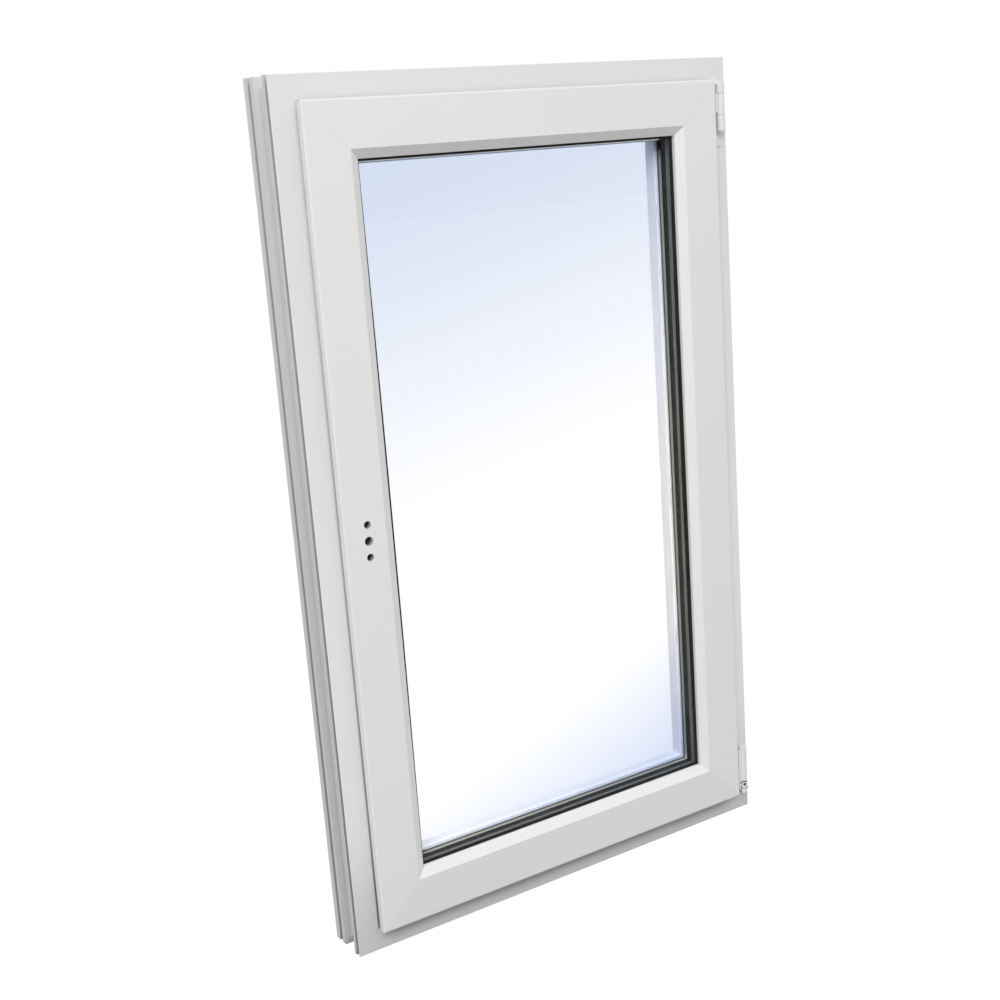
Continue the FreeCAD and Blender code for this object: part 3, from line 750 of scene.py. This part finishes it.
def plated_steel(name, colour, roughness, spangle, coat=None):
    """Zinc plated or cast metal with a fine spangle and painted shade in its recesses, coated beside the
    sash if asked.
    """
    finish = Finish(name)
    cells = finish.node("ShaderNodeTexVoronoi", feature="F1")
    finish.feed(cells.inputs["Vector"], finish.place())
    cells.inputs["Scale"].default_value = spangle
    tone = finish.plus(finish.times(cells.outputs["Distance"], SPECKLE_SHARE),
                       finish.times(finish.noise(STEEL_CLOUD), CLOUD_SHARE))
    bright = finish.mix(finish.spread(tone, *STEEL_SPAN), *(rgba(colour, share) for share in STEEL_TONES))
    # Painted shade in the metal's recesses
    recess = hemmed_shade(finish, openness(finish, STEEL_REACH), 1.0)
    body = finish.mix(recess, bright, rgba(colour, STEEL_RECESS_SHADE))
    metallic = 1.0
    if coat:
        coated = finish.past(finish.axes()[0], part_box("sash_right_stile")[1].x, COAT_BLUR)
        body = finish.mix(coated, body, rgba(coat))
        metallic = finish.rest(coated)
    finish.surface(
        colour=body, metallic=metallic,
        roughness=finish.spread(tone, *STEEL_SPAN, roughness, roughness + STEEL_DULLING),
        normal=finish.bump(finish.noise(STEEL_GRAIN), FINE_BUMP))
    return finish


def painted_sky(finish, upper_sky, lower_sky):
    """Painted reflection of the sky on a pane, bluish at its top left and at its bottom right, clear
    between.
    """
    low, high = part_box("inner_pane")
    x, _, z = finish.axes()
    right = finish.math("DIVIDE", finish.math("SUBTRACT", x, low.x), high.x - low.x)
    up = finish.math("DIVIDE", finish.math("SUBTRACT", z, low.z), high.z - low.z)
    lean = finish.math("SUBTRACT", up, finish.times(right, SKY_LEAN))
    upper = finish.mix(finish.spread(lean, *SKY_SPAN), CLEAR, rgba(upper_sky))
    rise = finish.plus(finish.times(right, LOW_LEAN), LOW_START)
    lower = finish.mix(finish.math("SUBTRACT", rise, finish.times(up, LOW_FALL)), CLEAR, rgba(lower_sky))
    return finish.mix(1.0, upper, lower, "MULTIPLY")


def window_glass(name, index, reflections=None):
    """Glass that casts no shadow, clear or coloured by a painted reflection of the sky."""
    finish = Finish(name)
    waves = finish.noise(GLASS_WAVES, detail=1.0)
    finish.surface(
        colour=painted_sky(finish, *reflections) if reflections else CLEAR,
        roughness=finish.spread(waves, *WAVE_SPAN, *WAVE_ROUGHNESS),
        transmission=1.0, index=index)
    let_through = finish.node("ShaderNodeBsdfTransparent")
    either = finish.node("ShaderNodeMixShader")
    finish.feed(either.inputs[0], finish.node("ShaderNodeLightPath").outputs["Is Shadow Ray"])
    finish.feed(either.inputs[1], finish.shader.outputs[0])
    finish.feed(either.inputs[2], let_through.outputs[0])
    finish.feed(finish.tree.nodes["Material Output"].inputs["Surface"], either.outputs[0])
    return finish


def block_plastic():
    """Moulded plastic of the hidden setting blocks."""
    finish = Finish("block_plastic")
    mottled = finish.noise(BLOCK_SCALE)
    finish.surface(
        colour=finish.mix(mottled, *BLOCK_GREENS),
        roughness=finish.vary(mottled, *BLOCK_ROUGHNESS))
    return finish


def piece(name, mesh, body, finish):
    """New object of the window that rides on a body and takes a slot's finish."""
    made = bpy.data.objects.new(name, mesh)
    bpy.context.scene.collection.objects.link(made)
    mesh.materials.append(finish.material)
    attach(made, body)


def circle(radius, height, sides):
    """Points of a circle round Z."""
    turns = [2 * math.pi * index / sides for index in range(sides)]
    return [(radius * math.cos(turn), radius * math.sin(turn), height) for turn in turns]


def cross(arm, half, height):
    """Points of a plus shape round Z."""
    quarter = [(arm, -half), (arm, half), (half, half)]
    points = []
    for turn in range(4):
        cosine, sine = round(math.cos(turn * math.pi / 2)), round(math.sin(turn * math.pi / 2))
        points += [(x * cosine - y * sine, x * sine + y * cosine, height) for x, y in quarter]
    return points


def loop(builder, points, matrix):
    """Closed ring of vertices, moved into place."""
    return [builder.verts.new(matrix @ Vector(point)) for point in points]


def bridge(builder, lower, upper):
    """Faces between two rings of the same length."""
    count = len(lower)
    for index in range(count):
        after = (index + 1) % count
        builder.faces.new((lower[index], lower[after], upper[after], upper[index]))


def ring_face(builder, outer, inner):
    """Flat face between an outer ring and a hole."""
    edges = []
    for ring in (outer, inner):
        for index in range(len(ring)):
            pair = (ring[index], ring[(index + 1) % len(ring)])
            edges.append(builder.edges.get(pair) or builder.edges.new(pair))
    bmesh.ops.triangle_fill(builder, use_beauty=True, use_dissolve=False, edges=edges)


def standing(point, normal):
    """Matrix that stands a shape's Z on a normal at a point."""
    turn = Vector(normal).to_track_quat("Z", "Y").to_matrix().to_4x4()
    return Matrix.Translation(point) @ turn


def screw_head(builder, matrix, sizes):
    """Low countersunk head with a cross recess."""
    radius, height = sizes.head_radius, sizes.head_height
    rim = loop(builder, circle(radius, 0.0, sizes.head_sides), matrix)
    top = loop(builder, circle(radius * HEAD_TOP, height, sizes.head_sides), matrix)
    mouth = loop(builder, cross(radius * RECESS_MOUTH[0], radius * RECESS_MOUTH[1], height), matrix)
    depth = height - radius * RECESS_DEPTH
    floor = loop(builder, cross(radius * RECESS_FLOOR[0], radius * RECESS_FLOOR[1], depth), matrix)
    bridge(builder, rim, top)
    ring_face(builder, top, mouth)
    bridge(builder, mouth, floor)
    builder.faces.new(floor)


def finished_mesh(name, builder):
    """Mesh from a builder, with its faces turned outwards."""
    bmesh.ops.recalc_face_normals(builder, faces=builder.faces[:])
    mesh = bpy.data.meshes.new(name)
    builder.to_mesh(mesh)
    builder.free()
    return mesh


def clear_of_slots(name, along):
    """Whether a place along a lock strip lies away from its slots."""
    runs = [(cam + CAM_SLOT[0], cam + CAM_SLOT[1]) for cam in CAMS.get(name, ())]
    if name == "lock_strip_top":
        runs.append(STAY_SLOT)
    return all(along < low - SCREW_ROOM or along > high + SCREW_ROOM for low, high in runs)


def strip_screws(sizes):
    """Places and normals of the screws along the four lock strips."""
    places = []
    for name, normal in LOCK_STRIPS.items():
        low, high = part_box(name)
        proud = CAM_HEIGHT if name in CAMS else 0.0
        upright = normal[2] == 0
        start, end = (low.z, high.z) if upright else (low.x, high.x)
        count = round((end - start) / sizes.strip_pitch)
        step = (end - start) / count
        for along in [start + step * (index + 0.5) for index in range(count)]:
            if not clear_of_slots(name, along):
                continue
            faces = [top if side > 0 else bottom for bottom, top, side in zip(low, high, normal)]
            across, _, up = Vector(faces) - Vector(normal) * proud
            point = (across, HARDWARE_Y, along) if upright else (along, HARDWARE_Y, up)
            places.append((Vector(point), normal))
    return places


def striker_screws():
    """Places and normals of the two screws of each striker."""
    low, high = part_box("lock_strikers")
    places = []
    for step in (-STRIKER_SCREW_STEP, STRIKER_SCREW_STEP):
        for height in SIDE_STRIKERS:
            places.append((Vector((low.x + STRIKER_PLATE, STRIKER_Y, height + step)), (1, 0, 0)))
        across = RAIL_STRIKER + step
        places.append((Vector((across, STRIKER_Y, high.z - STRIKER_PLATE)), (0, 0, -1)))
        places.append((Vector((across, STRIKER_Y, low.z + STRIKER_PLATE)), (0, 0, 1)))
    return places


def gear_socket(builder, place, radius, hole, sizes):
    """Disc with a hole, seen at the bottom of a handle hole."""
    matrix = standing(place, (0, -1, 0))
    thickness = sizes.socket_thickness
    bevel = thickness * SOCKET_BEVEL
    foot = loop(builder, circle(radius, 0.0, sizes.head_sides), matrix)
    shoulder = loop(builder, circle(radius, thickness - bevel, sizes.head_sides), matrix)
    rim = loop(builder, circle(radius - bevel, thickness, sizes.head_sides), matrix)
    mouth = loop(builder, hole(thickness), matrix)
    floor = loop(builder, hole(thickness * SOCKET_FLOOR), matrix)
    bridge(builder, foot, shoulder)
    bridge(builder, shoulder, rim)
    ring_face(builder, rim, mouth)
    bridge(builder, mouth, floor)
    builder.faces.new(floor)
    builder.faces.new(foot)


def handle_sockets(sizes):
    """Gear with its square and the two screw bosses, behind the three handle holes."""
    builder = bmesh.new()
    half = sizes.socket_square / 2

    def square(height):
        """Points of the spindle's square."""
        return [(half, -half, height), (half, half, height), (-half, half, height), (-half, -half, height)]

    def thread(height):
        """Points of a screw boss's bore."""
        return circle(sizes.head_radius * THREAD, height, sizes.head_sides)

    gear_socket(builder, Vector(HANDLE_PLACE), HANDLE_HOLE, square, sizes)
    for step in (-HANDLE_STEP, HANDLE_STEP):
        gear_socket(builder, Vector(HANDLE_PLACE) + Vector((0, 0, step)), HANDLE_SCREW_HOLE, thread, sizes)
    return finished_mesh("handle_sockets", builder)


def seal_lips():
    """Lips of the inner glass seal along the two upright beads, pressed out most at half height."""
    builder = bmesh.new()
    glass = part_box("inner_pane")[0].y
    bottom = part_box("glazing_bead_bottom")[1].z
    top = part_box("glazing_bead_top")[0].z
    still = Matrix.Identity(4)
    root = LIP_SECTION[0][0]
    reach = LIP_SECTION[-1][0] - root
    for sight, side in ((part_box("glazing_bead_left")[1].x, 1), (RIGHT_SIGHT, -1)):
        rings = []
        for share in [step / LIP_STEPS for step in range(LIP_STEPS + 1)]:
            bow = LIP_BOW * math.sin(math.pi * share) / reach
            height = bottom + (top - bottom) * share
            points = []
            for across, rise in LIP_SECTION:
                inset = across + (across - root) * bow
                points.append((sight + side * inset * MILLIMETRE, glass - rise * MILLIMETRE, height))
            rings.append(loop(builder, points, still))
        for lower, upper in zip(rings, rings[1:]):
            bridge(builder, lower, upper)
        builder.faces.new(rings[0])
        builder.faces.new(rings[-1])
    return finished_mesh("seal_lips", builder)


class WINDOW_OT_frame(bpy.types.Operator):
    """Finish the four frame sections"""

    bl_idname = "tilt_window.frame"
    bl_label = "Frame sections"

    def execute(self, context):
        look = context.scene.window_finishes
        for names, run, label in ((UPRIGHT_FRAME, RUN_Z, "upright"), (LEVEL_FRAME, RUN_X, "level")):
            finish = white_plastic("frame_plastic_" + label, look.frame_white, run, look, frame_shading)
            dress(names, finish)
        return {"FINISHED"}


class WINDOW_OT_sash(bpy.types.Operator):
    """Finish the sash sections and the glazing beads"""

    bl_idname = "tilt_window.sash"
    bl_label = "Sash sections and beads"

    def execute(self, context):
        look = context.scene.window_finishes
        for names, run, label, white in (
                (UPRIGHT_SASH, RUN_Z, "sash_plastic_upright", look.sash_white),
                (LEVEL_SASH, RUN_X, "sash_plastic_level", look.sash_white),
                (UPRIGHT_BEADS, RUN_Z, "bead_plastic_upright", look.lit_bead_white),
                (LEVEL_BEADS, RUN_X, "bead_plastic_level", look.lit_bead_white)):
            dress(names, white_plastic(label, white, run, look, sash_shading))
        return {"FINISHED"}


class WINDOW_OT_glazing(bpy.types.Operator):
    """Finish the panes, the spacer, the setting blocks and the seals, and add the upright lips"""

    bl_idname = "tilt_window.glazing"
    bl_label = "Glass and seals"

    def execute(self, context):
        look = context.scene.window_finishes
        reflections = (look.painted_sky, look.painted_low_sky)
        dress(("inner_pane",), window_glass("inner_glass", look.glass_index, reflections))
        dress(("outer_pane",), window_glass("outer_glass", look.glass_index))
        rubber = seal_rubber(look.seal_black, look.lip_highlight)
        dress(SEALS, rubber)
        piece("seal_lips", seal_lips(), "sash", rubber)
        dress(("outer_glass_seal",), outer_seal_rubber(look.outer_seal_grey, look.lit_seal_bottom))
        dress(("glass_spacer",), spacer_metal(look.spacer_grey))
        dress(("glass_blocks",), block_plastic())
        return {"FINISHED"}


class WINDOW_OT_fittings(bpy.types.Operator):
    """Finish the hinges, the stay arm, the lock strips and the strikers"""

    bl_idname = "tilt_window.fittings"
    bl_label = "Hinges and locks"

    def execute(self, context):
        look = context.scene.window_finishes
        dress(COVERS, cover_plastic(look.cover_white, look.plastic_roughness))
        dress(PLATED, plated_steel("zinc_steel", look.zinc, *ZINC_FACE))
        dress(COATED, plated_steel("coated_steel", look.zinc, *ZINC_FACE, look.cover_white))
        dress(CAST, plated_steel("hinge_metal", look.cast_metal, *CAST_FACE))
        return {"FINISHED"}


class WINDOW_OT_fixings(bpy.types.Operator):
    """Add the screws of the lock strips and strikers, and the gear behind the handle holes"""

    bl_idname = "tilt_window.fixings"
    bl_label = "Screws and handle gear"

    def execute(self, context):
        look = context.scene.window_finishes
        sizes = context.scene.window_fixings
        steel = plated_steel("screw_steel", look.zinc, *SCREW_FACE)
        for name, body, places in (
                ("lock_strip_screws", "sash", strip_screws(sizes)),
                ("striker_screws", "frame", striker_screws())):
            builder = bmesh.new()
            for point, normal in places:
                screw_head(builder, standing(point, normal), sizes)
            piece(name, finished_mesh(name, builder), body, steel)
        # The gear's zinc darkened as painted shade at the bottom of the handle holes
        gear = plated_steel("gear_steel", [share * GEAR_SHADE for share in look.zinc], *GEAR_FACE)
        piece("handle_sockets", handle_sockets(sizes), "sash", gear)
        return {"FINISHED"}


def seen_rays(tree):
    """Share of rays that show a background: from the camera, a mirror or through glass."""
    path = tree.nodes.new("ShaderNodeLightPath")
    seen = path.outputs["Is Camera Ray"]
    for name in ("Is Glossy Ray", "Is Transmission Ray"):
        either = tree.nodes.new("ShaderNodeMath")
        either.operation = "MAXIMUM"
        tree.links.new(seen, either.inputs[0])
        tree.links.new(path.outputs[name], either.inputs[1])
        seen = either.outputs[0]
    return seen


def white_world(ambient):
    """World that looks white and lights the window evenly."""
    world = bpy.data.worlds.new("studio_world")
    world.use_nodes = True
    tree = world.node_tree
    lit = tree.nodes["Background"]
    lit.inputs["Strength"].default_value = ambient
    lit.inputs["Color"].default_value = CLEAR
    shown = tree.nodes.new("ShaderNodeBackground")
    shown.inputs["Color"].default_value = CLEAR
    mixed = tree.nodes.new("ShaderNodeMixShader")
    tree.links.new(seen_rays(tree), mixed.inputs[0])
    tree.links.new(lit.outputs[0], mixed.inputs[1])
    tree.links.new(shown.outputs[0], mixed.inputs[2])
    tree.links.new(mixed.outputs[0], tree.nodes["World Output"].inputs["Surface"])
    return world


def pale_floor(size, white, bounce):
    """Floor that looks nearly white, keeps a faint shadow and throws little light back."""
    mesh = bpy.data.meshes.new("studio_floor")
    half = size / 2
    corners = [(-half, -half, 0.0), (half, -half, 0.0), (half, half, 0.0), (-half, half, 0.0)]
    mesh.from_pydata(corners, [], [(0, 1, 2, 3)])
    floor = bpy.data.objects.new("studio_floor", mesh)
    bpy.context.scene.collection.objects.link(floor)
    finish = Finish("studio_floor")
    finish.surface(colour=(bounce, bounce, bounce, 1.0), roughness=FLOOR_ROUGHNESS)
    shaded = finish.node("ShaderNodeBsdfDiffuse")
    shaded.inputs["Color"].default_value = FLOOR_SHADED
    shown = finish.node("ShaderNodeMixShader")
    shown.inputs[0].default_value = white
    finish.feed(shown.inputs[1], shaded.outputs[0])
    plain = finish.node("ShaderNodeEmission")
    plain.inputs["Strength"].default_value = FLOOR_GLOW
    finish.feed(shown.inputs[2], plain.outputs[0])
    mixed = finish.node("ShaderNodeMixShader")
    finish.feed(mixed.inputs[0], seen_rays(finish.tree))
    finish.feed(mixed.inputs[1], finish.shader.outputs[0])
    finish.feed(mixed.inputs[2], shown.outputs[0])
    finish.feed(finish.tree.nodes["Material Output"].inputs["Surface"], mixed.outputs[0])
    mesh.materials.append(finish.material)


def soft_lamp(name, place, size, power):
    """Square area lamp that looks at the middle of the window."""
    lamp = bpy.data.lights.new(name, "AREA")
    lamp.shape = "SQUARE"
    lamp.size = size
    lamp.energy = power
    made = bpy.data.objects.new(name, lamp)
    bpy.context.scene.collection.objects.link(made)
    made.location = place
    aim = Vector((0.0, 0.0, HEIGHT / 2)) - Vector(place)
    made.rotation_euler = aim.to_track_quat("-Z", "Y").to_euler()


class WINDOW_OT_studio(bpy.types.Operator):
    """Set up the floor, the light and the camera"""

    bl_idname = "tilt_window.studio"
    bl_label = "Studio"

    def execute(self, context):
        studio = context.scene.window_studio
        scene = context.scene
        scene.view_settings.view_transform = "Standard"
        scene.world = white_world(studio.ambient)
        pale_floor(studio.floor_size, studio.floor_white, studio.floor_bounce)
        soft_lamp("key_lamp", studio.key_place, studio.key_size, studio.key_power)
        soft_lamp("top_lamp", studio.top_place, studio.top_size, studio.top_power)
        soft_lamp("back_lamp", studio.back_place, studio.back_size, studio.back_power)
        camera = bpy.data.cameras.new("photo_camera")
        camera.lens = studio.lens
        made = bpy.data.objects.new("photo_camera", camera)
        scene.collection.objects.link(made)
        made.location = studio.camera_place
        made.rotation_euler = studio.camera_turn
        scene.camera = made
        return {"FINISHED"}


class WINDOW_PT_looks(bpy.types.Panel):
    """Steps that dress the window"""

    bl_label = "Tilt and Turn Window"
    bl_space_type = "VIEW_3D"
    bl_region_type = "UI"
    bl_category = "Window"

    def draw(self, context):
        for operator in OPERATORS:
            self.layout.operator(operator.bl_idname)
        for group in GROUPS:
            settings = getattr(context.scene, group)
            for name in settings.__annotations__:
                self.layout.prop(settings, name)


OPERATORS = (
    WINDOW_OT_frame, WINDOW_OT_sash, WINDOW_OT_glazing,
    WINDOW_OT_fittings, WINDOW_OT_fixings, WINDOW_OT_studio,
)
GROUPS = {"window_finishes": WindowFinishes, "window_fixings": WindowFixings, "window_studio": WindowStudio}


def register():
    """Add the classes and the scene's settings."""
    for made in (*GROUPS.values(), *OPERATORS, WINDOW_PT_looks):
        bpy.utils.register_class(made)
    for name, group in GROUPS.items():
        setattr(bpy.types.Scene, name, PointerProperty(type=group))


def unregister():
    """Take the classes and the settings away again."""
    for name in GROUPS:
        delattr(bpy.types.Scene, name)
    for made in (WINDOW_PT_looks, *reversed(OPERATORS), *reversed(GROUPS.values())):
        bpy.utils.unregister_class(made)


def main():
    """Dress the window."""
    register()
    bpy.ops.tilt_window.frame()
    bpy.ops.tilt_window.sash()
    bpy.ops.tilt_window.glazing()
    bpy.ops.tilt_window.fittings()
    bpy.ops.tilt_window.fixings()
    bpy.ops.tilt_window.studio()


if __name__ == "__main__":
    main()
